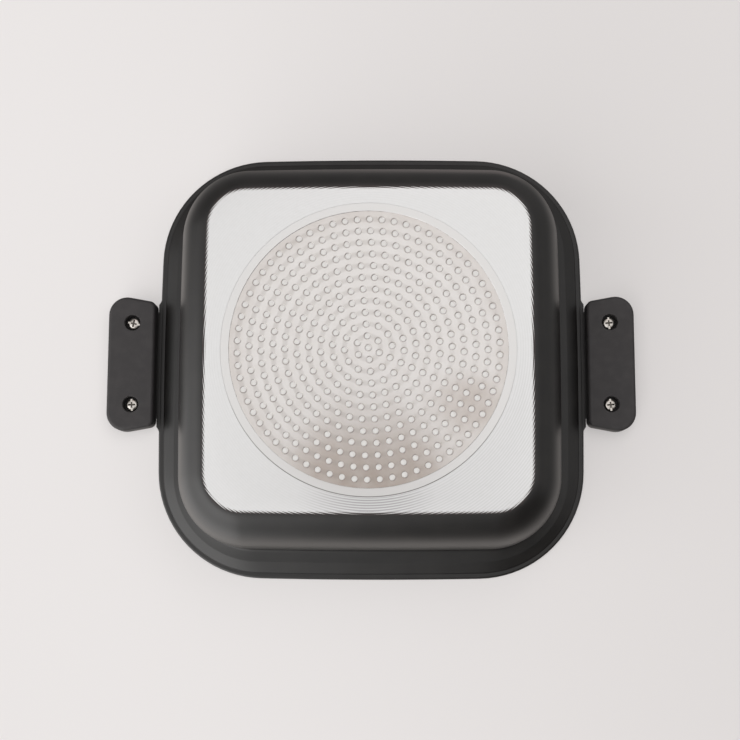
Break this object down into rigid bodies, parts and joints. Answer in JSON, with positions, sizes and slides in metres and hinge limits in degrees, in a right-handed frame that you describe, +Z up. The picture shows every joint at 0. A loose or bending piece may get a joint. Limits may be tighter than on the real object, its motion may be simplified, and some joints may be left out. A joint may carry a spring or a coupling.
{
  "type": "square tabletop pot",
  "caption": "Square tabletop pot: coated cast aluminium body with round corners and a stepped rim, perforated induction disc in its machined base, and screwed-on tab grips at the sides.",
  "frame": {"origin": "centre of the base, on the surface that the pot stands on", "axes": "+Z up out of the pot's mouth, +X along the line through both grips"},
  "size_m": [0.32, 0.26, 0.077],
  "materials": {
    "coated_aluminium": "satin black non-stick coating; the flat base is bare machined aluminium",
    "stainless_disc": "satin perforated stainless steel",
    "moulded_resin": "matte black moulded resin with a fine texture",
    "plated_screw": "bright nickel plated steel",
    "spring_steel": "plain spring steel"
  },
  "bodies": {
    "root": {"pot_body": "coated_aluminium", "induction_disc": "stainless_disc", "left_grip": "moulded_resin", "right_grip": "moulded_resin", "left_front_screw": "plated_screw", "left_back_screw": "plated_screw", "right_front_screw": "plated_screw", "right_back_screw": "plated_screw", "left_front_spring_washer": "spring_steel", "left_back_spring_washer": "spring_steel", "right_front_spring_washer": "spring_steel", "right_back_spring_washer": "spring_steel"}
  },
  "joints": []
}
